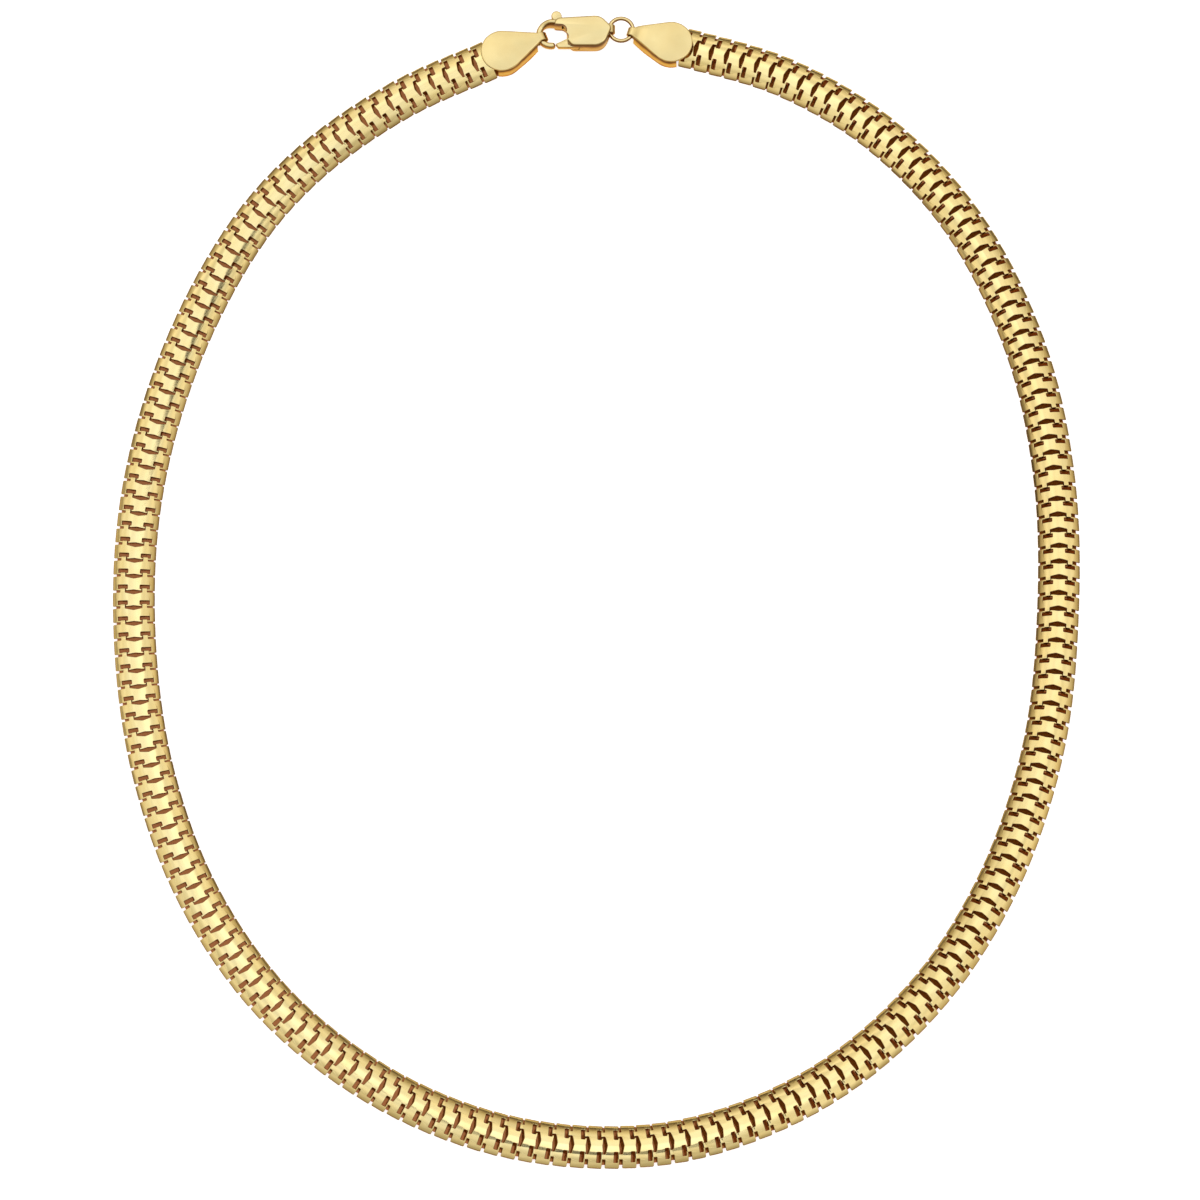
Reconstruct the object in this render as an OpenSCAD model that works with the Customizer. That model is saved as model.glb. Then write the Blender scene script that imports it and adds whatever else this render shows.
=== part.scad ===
// Snake chain necklace: a loop of stamped, domed links that hook into each other,
// two flat end caps, a lobster clasp with a sprung lever, and a jump ring.
// It lies flat on a surface. X runs to the right, Y to the clasp, Z up.

/* [Loop] */
// Width of the loop between the middles of its two sides
loop_w = 128; // [112:1:142]
// Length of the loop from the left cap to the bottom of the chain
loop_l = 154.9; // [139.4:0.1:170.4]

/* [Chain] */
// Width of a link across the chain
link_w = 5.8; // [5:0.1:8]
// Height of a link from its foot to its crest
link_h = 1.35; // [1.1:0.05:2]
// Straight side of a link under its dome
link_hem = 0.25; // [0.15:0.05:0.4]
// Distance from one link to the next along the chain
link_pitch = 2.25; // [2:0.05:3]
// Gap between two links at their side edges
link_gap = 0.32; // [0.25:0.01:0.5]
// Thickness of the stamped sheet
sheet = 0.2; // [0.15:0.01:0.25]
// Slope of each link, its front edge under the next link's tabs
link_slope = 9.5; // [9:0.5:11]
// Lean of each link towards the middle of the loop
link_lean = 4; // [0:0.5:6]

/* [Link hooks] */
// Distance of a hook tab from the middle of the link
tab_off = 1.54; // [1.3:0.02:1.8]
// Width of a hook tab
tab_w = 0.62; // [0.4:0.02:0.8]
// Length of a window across the chain
window_w = 1.42; // [1.1:0.02:1.6]
// Length of a window along the chain
window_l = 0.57; // [0.5:0.01:0.65]
// Bar of metal left in front of a window
window_bar = 0.26; // [0.2:0.01:0.3]
// Depth of the notch in the rear edge
notch_depth = 0.27; // [0.1:0.05:0.4]

/* [End caps] */
// Width of an end cap at its round end
cap_w = 6.05; // [5.6:0.05:8]
// Length of an end cap from the middle of its round end to its folded tip
cap_l = 5.85; // [5:0.05:9]
// Height of an end cap
cap_h = 2.5; // [2.4:0.05:3.2]
// Wall of an end cap
cap_wall = 0.25; // [0.15:0.01:0.35]
// How far the cap's walls reach back round the chain
cap_mouth = 1.5; // [0.5:0.05:1.8]
// Length of the sloping part before the folded tip
cap_bend = 1.2; // [0.9:0.05:2]
// Width of the folded tip
tip_w = 1.2; // [1:0.05:1.5]
// How far the cap's straight walls spread at the foot, by the tip
cap_draft = 0.5; // [0:0.05:0.6]
// Direction of the left cap's axis
cap_turn_left = 21.5; // [15:0.5:28]
// Direction of the right cap's axis
cap_turn_right = 17; // [10:0.5:24]

/* [Clasp] */
// Length of the clasp body from the gate to the middle of the tail loop
body_l = 5.85; // [5.5:0.05:8]
// Width of the clasp body
body_w = 4.55; // [4.2:0.05:5.4]
// Thickness of the clasp body
body_t = 2.8; // [2.6:0.05:3]
// Bevel round the flat faces of the clasp body
body_edge = 0.3; // [0.1:0.05:0.4]
// Width of the hook's opening
eye_d = 2.55; // [2.4:0.05:3]
// Width of the hook's wire
hook_w = 0.85; // [0.7:0.05:0.95]
// Height of the hook's wire
hook_t = 1.25; // [0.9:0.05:1.35]
// Thickness of the lever
lever_t = 0.9; // [0.6:0.05:1.1]
// Radius of the lever's pivot pin
pin_r = 0.3; // [0.2:0.01:0.4]
// How far the lever opens
lever_open = 28; // [15:1:30]
// Radius of the lever's thumb nub
nub_r = 0.72; // [0.5:0.02:0.8]

/* [Jump ring] */
// Outer diameter of the jump ring
ring_d = 4; // [3.8:0.05:5]
// Wire of the jump ring
ring_wire = 0.6; // [0.4:0.05:0.65]

/* [Hidden] */
$fn = 48;
gold = [0.93, 0.76, 0.42];
loose = 0.1;         // least gap between pieces that touch in use
slack = 0.12;        // room round a wire in the loop that holds it
fit = 0.05;          // gap of the lever's bore round its pin
far = 20;            // longer than any cut needs
mid_z = body_t / 2;  // level of the hook, the tail loop and the jump ring

// The chain's route as it lies, from the left cap round to the stretch before the right cap,
// for a loop of the traced width and length
traced_w = 128;
traced_l = 154.9;
traced = [
    [-15.2, 76], [-28.6, 69.6], [-41.4, 59.9], [-51.1, 47.6], [-59.1, 30.1], [-63.6, 11.1], [-64.1, -8.4],
    [-61.1, -27.9], [-54.1, -45.9], [-42.6, -61.4], [-26.6, -72.9], [-8.6, -78.9], [10.9, -78.9],
    [29.4, -71.9], [44.4, -59.4], [54.9, -43.4], [61.4, -24.9], [63.9, -5.9], [63.9, 13.6],
    [60.4, 32.6], [52.4, 50.6], [40.9, 64.2], [27.2, 73.1]
];
route = [for (p = traced) [p[0] * loop_w / traced_w, p[1] * loop_l / traced_l]];

function unit(a) = [cos(a), sin(a)];
// How far a wire bent to radius r strays from its tangent within a loop of width w
function stray(r, w) = w * w / (8 * r);

// Clasp: its local X runs from the hook to the tail, and its origin is the middle of the tail loop
body_y = -0.575;
low_y = body_y - body_w / 2;
heel_r = 0.95;
heel = [heel_r - body_l, low_y + heel_r];             // round corner behind the gate
shoulder_r = 1.9;
shoulder_x = -2.1;
brow_r = 0.9;
brow = heel + [-2.1, body_w - heel_r - 1.2];          // round corner where the hook springs
neck = [-0.55, -0.15];                                // narrow end by the tail loop
neck_r = 0.75;
tail_r = ring_wire / 2 + slack + stray(ring_d / 2, 1.25);
tail_wall = 0.27;
tail_w = 1.25;
hook_at = [-body_l - 2.53, body_y - 0.225];           // middle of the hook's round opening
hook_r = (eye_d + hook_w) / 2;
hook_turn = 188;                                      // how far the hook's wire runs round its opening
hook_tip = hook_at + hook_r * unit(90 + hook_turn);
eye_back = [hook_at[0] + 1.4, hook_at[1] + 0.25];
eye_back_r = eye_d * 0.36;
pivot = [heel[0] + 0.15, heel[1]];
slot_t = lever_t + 2 * loose;
gate_x = hook_tip[0] + hook_w / 2;
gate_tip = [[gate_x + 0.2, low_y + 0.6], [gate_x + 0.62, low_y + 0.1]]; // slanted end that meets the hook
gate_r = 0.1;
elbow = [brow[0] + 1, brow[1] - 0.15];
nub = [brow[0] - 0.55, brow[1] + 1.2];
arm_r = 0.3;

// Places of the pieces that follow from each other, the left cap first
chain_in = cap_mouth + 4 * loose - link_gap / 2;          // from a cap's round middle to the chain's end
hold_l_r = hook_t / 2 + slack + stray(hook_r, tip_w);
hold_r_r = ring_wire / 2 + slack + stray(ring_d / 2, tip_w);
tip_wall = 0.2;
cap_left_at = route[0] + chain_in * unit(cap_turn_left);
hook_hold = hook_at - (hook_r - stray(hook_r, tip_w) / 2) * unit(cap_turn_left);
clasp_at = cap_left_at + cap_l * unit(cap_turn_left) - hook_hold;
ring_r = (ring_d - ring_wire) / 2;
ring_at = clasp_at + [ring_r - stray(ring_r, tail_w) / 2, 0];
cap_right_at = ring_at + (ring_r - stray(ring_r, tip_w) / 2 + cap_l) * unit(-cap_turn_right);
finish = cap_right_at + chain_in * unit(-cap_turn_right) + [0, 0.45];

// The route as a smooth curve through its points, then as a list of evenly cut steps
path = concat(route, [finish]);
last = len(path) - 1;
cuts = 10;
before = route[0] + 9 * unit(cap_turn_left);
after = finish - 11 * unit(-cap_turn_right);
function at(i) = i < 0 ? before : i > last ? after : path[i];
function blend(i, t) =
    0.5 * (2 * at(i) + (at(i + 1) - at(i - 1)) * t
    + (2 * at(i - 1) - 5 * at(i) + 4 * at(i + 1) - at(i + 2)) * t * t
    + (3 * at(i) - at(i - 1) - 3 * at(i + 1) + at(i + 2)) * t * t * t);
curve = [for (i = [0:last - 1], k = [0:cuts - 1]) blend(i, k / cuts), path[last]];
curve_n = len(curve);
reach = [
    for (i = 0, s = 0; i < curve_n; s = s + norm(curve[min(i + 1, curve_n - 1)] - curve[i]), i = i + 1) s
];
chain_l = reach[curve_n - 1];
function step_at(s, lo = 0, hi = curve_n - 1) =
    hi - lo < 2 ? lo : let (m = floor((lo + hi) / 2)) reach[m] > s ? step_at(s, lo, m) : step_at(s, m, hi);
function place(s) = let (i = step_at(s), t = (s - reach[i]) / (reach[i + 1] - reach[i]))
    curve[i] + (curve[i + 1] - curve[i]) * t;
function heading(s) = let (a = place(max(0, s - link_pitch / 2)), b = place(min(chain_l, s + link_pitch / 2)))
    atan2(b[1] - a[1], b[0] - a[0]);

link_count = round(chain_l / link_pitch);
pitch = chain_l / link_count;
half_l = (link_pitch - link_gap) / 2;
front_foot = half_l * sin(link_slope);

// Dome of a link: a round arc on two short straight sides
dome_rise = link_h - link_hem;
dome_r = (link_w * link_w / 4 + dome_rise * dome_rise) / (2 * dome_rise);
window_x = half_l - window_bar - window_l / 2;
prong_x = window_x - pitch * cos(link_slope);
prong_t = 0.16;
prong_l = 0.65;                                       // how deep a tab's folded end hangs
tab_turn = asin(tab_off / dome_r);
tab_foot = front_foot + link_h - dome_r + (dome_r - sheet) * cos(tab_turn); // underside of the tabs
rod_r = 0.16;
tab_in = (link_h - dome_r + dome_r * cos(tab_turn)) * sin(link_slope);      // how far the slope carries a tab
rod_x = -chain_in - pitch / 2 - prong_x - prong_t / 2 - tab_in - 1.5 * loose - rod_r;
rod_l = 2 * sqrt(cap_w * cap_w / 4 - rod_x * rod_x) - cap_wall;
peg_x = window_x + tab_in - prong_t / 2;
peg_l = 0.4;

module dome_section(inset) {
    intersection() {
        translate([0, link_h - dome_r]) circle(r = dome_r - inset, $fn = 96);
        translate([-link_w / 2 + inset, -inset * 5]) square([link_w - 2 * inset, link_h + inset * 5]);
    }
}

module along(length) {
    rotate([90, 0, 90]) translate([0, 0, -length / 2]) linear_extrude(length) children();
}

// Outline of a link from above: a shallow front edge with two windows, tabs on the notched rear edge
module link_plan() {
    corner = 0.28;
    front_dip = 0.1;
    e = link_w / 2;
    tab_lo = tab_off - tab_w / 2;
    tab_hi = tab_off + tab_w / 2;
    tab_x = prong_x - prong_t / 2;
    win_in = tab_off - window_w / 2;
    difference() {
        polygon([
            [half_l - corner, -e], [half_l, corner - e], [half_l, -win_in], [half_l - front_dip, 0],
            [half_l, win_in], [half_l, e - corner], [half_l - corner, e],
            [corner - half_l, e], [-half_l, e - corner], [-half_l, tab_hi], [tab_x, tab_hi],
            [tab_x, tab_lo], [-half_l, tab_lo], [notch_depth - half_l, 0], [-half_l, -tab_lo],
            [tab_x, -tab_lo], [tab_x, -tab_hi], [-half_l, -tab_hi], [-half_l, corner - e],
            [corner - half_l, -e]
        ]);
        for (y = [-tab_off, tab_off])
            translate([window_x, y]) square([window_l, window_w], center = true);
    }
}

module link() {
    length = 2 * (half_l - prong_x);
    intersection() {
        along(length) difference() {
            dome_section(0);
            dome_section(sheet);
        }
        translate([0, 0, -1]) linear_extrude(link_h + 2) link_plan();
    }
    for (s = [-1, 1])
        translate([prong_x - prong_t / 2, 0, link_h - dome_r]) rotate([s * tab_turn, 0, 0])
            translate([0, -tab_w / 2, dome_r - sheet / 2 - prong_l])
                cube([prong_t, tab_w, prong_l]);
}

module chain_run(first, end) {
    color(gold)
        for (k = [first:end - 1])
            let (s = (k + 0.5) * pitch)
                translate(concat(place(s), [front_foot])) rotate([0, 0, heading(s)])
                    translate([0, link_w / 2, 0]) rotate([-link_lean, 0, 0]) translate([0, -link_w / 2, 0])
                        rotate([0, link_slope, 0]) link();
}

module chain_left() {
    chain_run(0, floor(link_count / 2));
}

module chain_right() {
    chain_run(floor(link_count / 2), link_count);
}

// Outline of a cap from above, its round end at the origin and its tip on +X
module cap_plan(inset, spread = 0) {
    tip_half = tip_w / 2 + spread - inset;
    hull() {
        circle(r = cap_w / 2 - inset);
        translate([cap_l - 0.1, -tip_half]) square([0.1, 2 * tip_half]);
    }
}

module cap_form(inset, top, tip_top) {
    slab = 0.02;
    foot_out = 0.05;
    intersection() {
        hull() {
            translate([0, 0, top - slab]) linear_extrude(slab) cap_plan(inset);
            linear_extrude(slab) cap_plan(inset - foot_out, cap_draft);
        }
        rotate([90, 0, 0]) linear_extrude(far, center = true)
            polygon([
                [-far, -1], [-far, top + 1], [cap_l - cap_bend - 1, top + 1], [cap_l - cap_bend, top],
                [cap_l, tip_top], [cap_l, mid_z / 2], [cap_l - 2.5, 0], [cap_l - 3, -1]
            ]);
    }
}

module cap_shell(hold_r) {
    tube_r = hold_r + tip_wall;
    inside = cap_h - cap_wall;
    difference() {
        cap_form(0, cap_h, mid_z + tube_r);
        translate([0, 0, -loose]) cap_form(cap_wall, inside + loose, mid_z + tube_r - cap_wall + loose);
        // open under the round end, where the chain goes in
        translate([-far - cap_mouth, -far, -1]) cube([far, 2 * far, 1 + inside]);
        // room for the wire in the folded tip
        translate([cap_l, 0, mid_z]) rotate([90, 0, 0]) cylinder(r = hold_r, h = far, center = true);
        translate([cap_l - hold_r, -far, -1]) cube([far, 2 * far, 1 + mid_z]);
    }
    translate([cap_l, 0, mid_z]) rotate([90, 0, 0])
        difference() {
            cylinder(r = tube_r, h = tip_w, center = true);
            cylinder(r = hold_r, h = tip_w + 1, center = true);
        }
}

module end_cap_left() {
    color(gold)
        translate(concat(cap_left_at, [0])) rotate([0, 0, cap_turn_left]) {
            cap_shell(hold_l_r);
            // rod that the first link's tabs hook over
            translate([rod_x, 0, tab_foot - 2 * rod_r])
                rotate([90, 0, 0]) cylinder(r = rod_r, h = rod_l, center = true);
        }
}

module end_cap_right() {
    last_at = chain_l - pitch / 2;
    color(gold) {
        translate(concat(cap_right_at, [0])) rotate([0, 0, 180 - cap_turn_right]) cap_shell(hold_r_r);
        // pegs under the plate that the last link's windows hang on
        translate(concat(place(last_at), [tab_foot - peg_l])) rotate([0, 0, heading(last_at)])
            for (s = [-1, 1])
                translate([peg_x, s * tab_off - tab_w / 2, 0])
                    cube([prong_t, tab_w, cap_h - cap_wall / 2 - tab_foot + peg_l]);
    }
}

module body_plan(inset) {
    $fn = 32;
    hull() {
        translate(heel) circle(r = heel_r - inset);
        translate(brow) circle(r = brow_r - inset);
        for (y = [low_y + shoulder_r, low_y + body_w - shoulder_r])
            translate([shoulder_x, y]) circle(r = shoulder_r - inset);
        translate(neck) circle(r = neck_r - inset);
    }
}

// Section of the hook's wire, or its outer half for the rounded tip
module hook_wire(half = false) {
    x = hook_w / 2;
    y = hook_t / 2;
    edge = hook_w / 4;
    outer = [[x - edge, -y], [x, edge - y], [x, y - edge], [x - edge, y]];
    polygon(concat(outer, half ? [[0, y], [0, -y]] : [for (i = [3:-1:0]) [-outer[i][0], outer[i][1]]]));
}

module eye_plan() {
    hull() {
        translate(hook_at) circle(d = eye_d);
        translate(eye_back) circle(r = eye_back_r);
    }
}

// The lever seen from above, with room round it for its slot
module lever_plan() {
    hull() {
        translate(pivot) circle(r = heel_r);
        for (p = gate_tip) translate(p) circle(r = gate_r);
    }
    hull() {
        translate(pivot) circle(r = arm_r);
        translate(elbow) circle(r = arm_r);
    }
    hull() {
        translate(elbow) circle(r = arm_r);
        translate(nub) circle(r = arm_r);
    }
    translate(nub) circle(r = nub_r);
}

function turn_of(p) = atan2(p[1] - pivot[1], p[0] - pivot[0]);
function swept(r, a) = pivot + r * unit(a);

// Room that the lever sweeps inside the body as it opens
module slot_plan() {
    elbow_turn = turn_of(elbow);
    elbow_l = norm(elbow - pivot);
    nub_turn = turn_of(nub);
    nub_l = norm(nub - pivot);
    translate(pivot) circle(r = heel_r + loose);
    translate(pivot - [3, heel_r + loose]) square([3, 2 * (heel_r + loose)]);
    polygon([
        swept(heel_r, elbow_turn + 20), swept(elbow_l, elbow_turn + 9), swept(elbow_l + 0.4, nub_turn + 5),
        swept(nub_l, nub_turn + 5), swept(nub_l + 3, nub_turn - lever_open / 2),
        swept(nub_l, nub_turn - lever_open - 10), swept(elbow_l, elbow_turn - lever_open - 11),
        swept(heel_r, elbow_turn - lever_open - 25)
    ]);
    for (a = [0, lever_open])
        translate(pivot) rotate([0, 0, -a]) translate(nub - pivot) circle(r = nub_r + loose);
}

module clasp_body() {
    color(gold)
        translate(concat(clasp_at, [mid_z])) {
            difference() {
                union() {
                    hull() {
                        linear_extrude(body_t - 2 * body_edge, center = true) body_plan(0);
                        linear_extrude(body_t, center = true) body_plan(body_edge);
                    }
                    linear_extrude(body_t - body_edge, center = true)
                        hull() {
                            translate(hook_at + [0, hook_r]) circle(d = hook_w);
                            translate(brow) circle(r = brow_r - body_edge);
                        }
                }
                linear_extrude(far, center = true) eye_plan();
                linear_extrude(slot_t, center = true) slot_plan();
                rotate([90, 0, 0]) cylinder(r = tail_r, h = far, center = true);
            }
            translate(concat(hook_at, [0])) rotate([0, 0, 90])
                rotate_extrude(angle = hook_turn) translate([hook_r, 0]) hook_wire();
            translate(concat(hook_tip, [0])) rotate_extrude() hook_wire(true);
            translate(concat(pivot, [0])) cylinder(r = pin_r, h = slot_t + 0.2, center = true);
            rotate([90, 0, 0]) difference() {
                cylinder(r = tail_r + tail_wall, h = tail_w, center = true);
                cylinder(r = tail_r, h = tail_w + 1, center = true);
            }
        }
}

module clasp_lever() {
    color(gold)
        translate(concat(clasp_at, [mid_z]))
            linear_extrude(lever_t, center = true)
                difference() {
                    lever_plan();
                    translate(pivot) circle(r = pin_r + fit);
                }
}

module jump_ring() {
    color(gold)
        translate(concat(ring_at, [mid_z]))
            rotate_extrude($fn = 64) translate([ring_r, 0]) circle(r = ring_wire / 2, $fn = 24);
}

chain_left();
chain_right();
end_cap_left();
end_cap_right();
clasp_body();
clasp_lever();
jump_ring();
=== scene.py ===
import bpy
import bmesh
from math import acos, asin, atan2, cos, degrees, pi, radians, sin, sqrt
from mathutils import Matrix, Vector


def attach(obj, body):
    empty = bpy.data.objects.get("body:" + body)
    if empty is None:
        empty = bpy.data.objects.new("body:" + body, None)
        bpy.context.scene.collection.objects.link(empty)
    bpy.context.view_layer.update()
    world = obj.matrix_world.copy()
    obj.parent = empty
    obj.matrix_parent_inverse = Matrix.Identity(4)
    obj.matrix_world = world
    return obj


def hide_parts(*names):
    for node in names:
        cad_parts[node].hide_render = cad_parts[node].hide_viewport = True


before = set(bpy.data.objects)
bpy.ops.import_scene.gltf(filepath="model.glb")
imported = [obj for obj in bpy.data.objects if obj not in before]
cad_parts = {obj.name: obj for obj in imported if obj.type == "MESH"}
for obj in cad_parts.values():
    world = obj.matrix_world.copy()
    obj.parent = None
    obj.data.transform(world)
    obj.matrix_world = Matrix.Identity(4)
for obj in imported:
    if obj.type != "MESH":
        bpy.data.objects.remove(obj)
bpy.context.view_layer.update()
MM = 0.001


# Camera
# It looks down at 76 degrees from the bottom of the loop, as the photograph does.
look_down = radians(76)
looked_at = Vector((0.4, -3.55, 0)) * MM
distance = 0.6306
camera_data = bpy.data.cameras.new("camera")
camera_data.lens = 136.2
camera_data.sensor_width = 36
camera = bpy.data.objects.new("camera", camera_data)
camera.location = looked_at + distance * Vector((0, -cos(look_down), sin(look_down)))
camera.rotation_euler = (pi / 2 - look_down, 0, 0)
bpy.context.collection.objects.link(camera)
bpy.context.scene.camera = camera


# Chain links
# Each link is stamped from gold-plated brass sheet about 0.2 mm thick: a dome 5.8 mm wide with two
# windows behind its front edge, and two tabs on its notched rear edge. The tabs fold down into
# the windows of the link behind, which is what makes the chain bend smoothly.
def rounded(corners, steps=2):
    """The outline through corners (x, u, radius), with each corner rounded, in mm."""
    outline = []
    for i, (x, u, radius) in enumerate(corners):
        here = Vector((x, u))
        back = Vector(corners[i - 1][:2]) - here
        ahead = Vector(corners[(i + 1) % len(corners)][:2]) - here
        if radius == 0:
            outline.append(here)
            continue
        half = back.angle(ahead) / 2
        run = min(radius * cos(half) / sin(half), 0.45 * back.length, 0.45 * ahead.length)
        a, b = here + back.normalized() * run, here + ahead.normalized() * run
        for k in range(steps + 1):
            t = k / steps
            outline.append(a * (1 - t) ** 2 + here * 2 * t * (1 - t) + b * t ** 2)
    return outline


def stamped(name, outlines, thickness, edge, edge_steps=0):
    """A flat plate with holes, its rims broken by a small bevel, as a mesh in mm."""
    curve = bpy.data.curves.new(name, "CURVE")
    curve.dimensions = "2D"
    curve.fill_mode = "BOTH"
    curve.extrude = thickness / 2 - edge
    curve.bevel_depth = edge
    curve.bevel_resolution = edge_steps
    curve.offset = -edge
    for outline in outlines:
        spline = curve.splines.new("POLY")
        spline.points.add(len(outline) - 1)
        for point, at in zip(spline.points, outline):
            point.co = (at[0], at[1], 0, 1)
        spline.use_cyclic_u = True
    holder = bpy.data.objects.new(name, curve)
    mesh = bpy.data.meshes.new_from_object(holder)
    bpy.data.objects.remove(holder)
    bpy.data.curves.remove(curve)
    return mesh


link_w, link_h, pitch_cad, link_gap = 5.8, 1.35, 2.25, 0.32
hem, sheet, slope, lean = 0.25, 0.19, radians(9.5), radians(4)
half_l = (pitch_cad - link_gap) / 2
dome_rise = link_h - hem
dome_r = (link_w ** 2 / 4 + dome_rise ** 2) / (2 * dome_rise)
fold_r = 0.2
turn_end = asin((link_w / 2 - fold_r) / (dome_r - fold_r))
fold_z = link_h - dome_r + (dome_r - fold_r) * cos(turn_end)
arc_l = dome_r * turn_end
fold_l = fold_r * (pi / 2 - turn_end)
side_u = arc_l + fold_l + fold_z


def across(y):
    return dome_r * asin(y / dome_r)


def section(u, w):
    """The place on the link's section, u across its outside and w out from it."""
    side, u = (1 if u >= 0 else -1), abs(u)
    if u <= arc_l:
        a = u / dome_r
        y, z = (dome_r + w) * sin(a), link_h - dome_r + (dome_r + w) * cos(a)
    elif u <= arc_l + fold_l:
        a = turn_end + (u - arc_l) / fold_r
        y, z = link_w / 2 - fold_r + (fold_r + w) * sin(a), fold_z + (fold_r + w) * cos(a)
    else:
        y, z = link_w / 2 + w, fold_z - (u - arc_l - fold_l)
    return side * y, z


# the blank, as cut from flat sheet: its tabs and windows, its notch and its broken rim
tab_off, tab_half_w, window_half_w = 1.54, 0.31, 0.71
window_x, window_half_l = half_l - 0.5, 0.29
notch, front_bow, rim = 0.27, 0.1, 0.035
# the tabs' fold, and how much of the sheet's thickness is left where the rear edge thins
bend_r, prong_l, bend_play = 0.09, 0.4, 0.03
thin_left, thin_run = 0.55, 0.15
uv_span = 8  # mm of the blank that the UV map takes in


def link_blank(bend_x):
    """The flat blank, x along the chain and y across it, with its tabs folding at bend_x."""
    tab_x = bend_x - bend_r * pi / 2 - prong_l
    tab_lo, tab_hi = across(tab_off - tab_half_w), across(tab_off + tab_half_w)
    win_in, win_out = across(tab_off - window_half_w), across(tab_off + window_half_w)
    outline = rounded([
        (half_l, -side_u, 0.3), (half_l, -win_in, 0.3), (half_l - front_bow, 0, 0.5),
        (half_l, win_in, 0.3), (half_l, side_u, 0.3), (-half_l, side_u, 0.3),
        (-half_l, tab_hi, 0.1), (tab_x, tab_hi, 0.08), (tab_x, tab_lo, 0.08),
        (-half_l, tab_lo, 0.12), (notch - half_l, 0, 0.5), (-half_l, -tab_lo, 0.12),
        (tab_x, -tab_lo, 0.08), (tab_x, -tab_hi, 0.08), (-half_l, -tab_hi, 0.1),
        (-half_l, -side_u, 0.3)])
    windows = [
        rounded([(window_x + a * window_half_l, s * b, 0.12) for a, b in
                 ((-1, win_in), (1, win_in), (1, win_out), (-1, win_out))])
        for s in (-1, 1)]
    return stamped("link", [outline] + windows, sheet, rim)


# the back leaf, which closes the link behind and hangs on its two sides: a sheet low under the
# link, painted dark brown as its inside, that fills the gaps between links with painted shade
leaf = [(0.92, 2.583), (0, 2.583), (-0.1, 2.82), (-0.6, 2.82), (-0.7, 2.646), (-1.5, 2.646),
        (-1.5, -2.415), (-0.7, -2.415), (-0.6, -2.82), (-0.1, -2.82), (0, -2.3575), (0.92, -2.3575)]
leaf_low, leaf_high = 0.03, 0.13


def link_mesh(pitch):
    """The blank pressed to its dome, with its tabs folded and its back leaf of painted shade added,
    in metres.
    """
    bend_x = window_x + window_half_l - pitch * cos(slope) + bend_r - bend_play
    mesh = link_blank(bend_x)
    bm = bmesh.new()
    bm.from_mesh(mesh)
    cuts = [((0, k * arc_l / 7, 0), (0, 1, 0)) for k in range(-7, 8)]
    cuts += [((0, s * (arc_l + fold_l * t), 0), (0, 1, 0)) for s in (-1, 1) for t in (0.5, 1)]
    cuts += [((bend_x - bend_r * radians(a), 0, 0), (1, 0, 0)) for a in (0, 45, 90)]
    cuts.append(((-half_l - thin_run, 0, 0), (1, 0, 0)))
    for at, normal in cuts:
        bmesh.ops.bisect_plane(bm, geom=bm.verts[:] + bm.edges[:] + bm.faces[:], dist=1e-5,
                               plane_co=at, plane_no=normal)
    bmesh.ops.remove_doubles(bm, verts=bm.verts, dist=1e-4)
    uv = bm.loops.layers.uv.new("UVMap")
    # inside marks the sheet's underside and the leaf, which the finish paints as dark brown shade
    inside = bm.verts.layers.float.new("inside")
    for face in bm.faces:
        face.smooth = True
        for loop in face.loops:
            loop[uv].uv = (loop.vert.co.y / uv_span + 0.5, loop.vert.co.x / uv_span + 0.5)
    for vert in bm.verts:
        x, u, t = vert.co
        vert[inside] = 0.0 if t > 0 else 1.0
        thinned = min(1, max(0, (-half_l - x) / thin_run))
        thickness = sheet * (1 - (1 - thin_left) * thinned)
        w = (t - sheet / 2) * thickness / sheet
        if x < bend_x:
            run = bend_x - x
            a = min(run / bend_r, pi / 2)
            out = bend_r + w + thickness / 2
            x = bend_x - out * sin(a)
            w = -thickness / 2 - bend_r + out * cos(a) - max(0, run - bend_r * pi / 2)
        y, z = section(u, w)
        vert.co = Vector((x, y, z)) * MM
    low = [bm.verts.new(Vector((x, y, leaf_low)) * MM) for x, y in leaf]
    high = [bm.verts.new(Vector((x, y, leaf_high)) * MM) for x, y in leaf]
    for vert in low + high:
        vert[inside] = 1.0
    bm.faces.new(high[::-1])
    bm.faces.new(low)
    for i in range(len(leaf)):
        j = (i + 1) % len(leaf)
        bm.faces.new((low[j], low[i], high[i], high[j]))
    bmesh.ops.triangulate(bm, faces=[face for face in bm.faces if len(face.verts) > 4])
    bmesh.ops.recalc_face_normals(bm, faces=bm.faces)
    bm.to_mesh(mesh)
    bm.free()
    mesh.set_sharp_from_angle(angle=radians(28))
    return mesh


# The route of the chain, from the left cap round to the right one, in mm as in the source
route = [
    (-15.2, 76), (-28.6, 69.6), (-41.4, 59.9), (-51.1, 47.6), (-59.1, 30.1), (-63.6, 11.1),
    (-64.1, -8.4), (-61.1, -27.9), (-54.1, -45.9), (-42.6, -61.4), (-26.6, -72.9), (-8.6, -78.9),
    (10.9, -78.9), (29.4, -71.9), (44.4, -59.4), (54.9, -43.4), (61.4, -24.9), (63.9, -5.9),
    (63.9, 13.6), (60.4, 32.6), (52.4, 50.6), (40.9, 64.2), (27.2, 73.1)]


def toward(angle, length=1):
    return Vector((cos(radians(angle)), sin(radians(angle)))) * length


def stray(r, w):
    """How far a wire ring of radius r strays from straight inside a strap w wide."""
    return w ** 2 / (8 * r)


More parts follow.
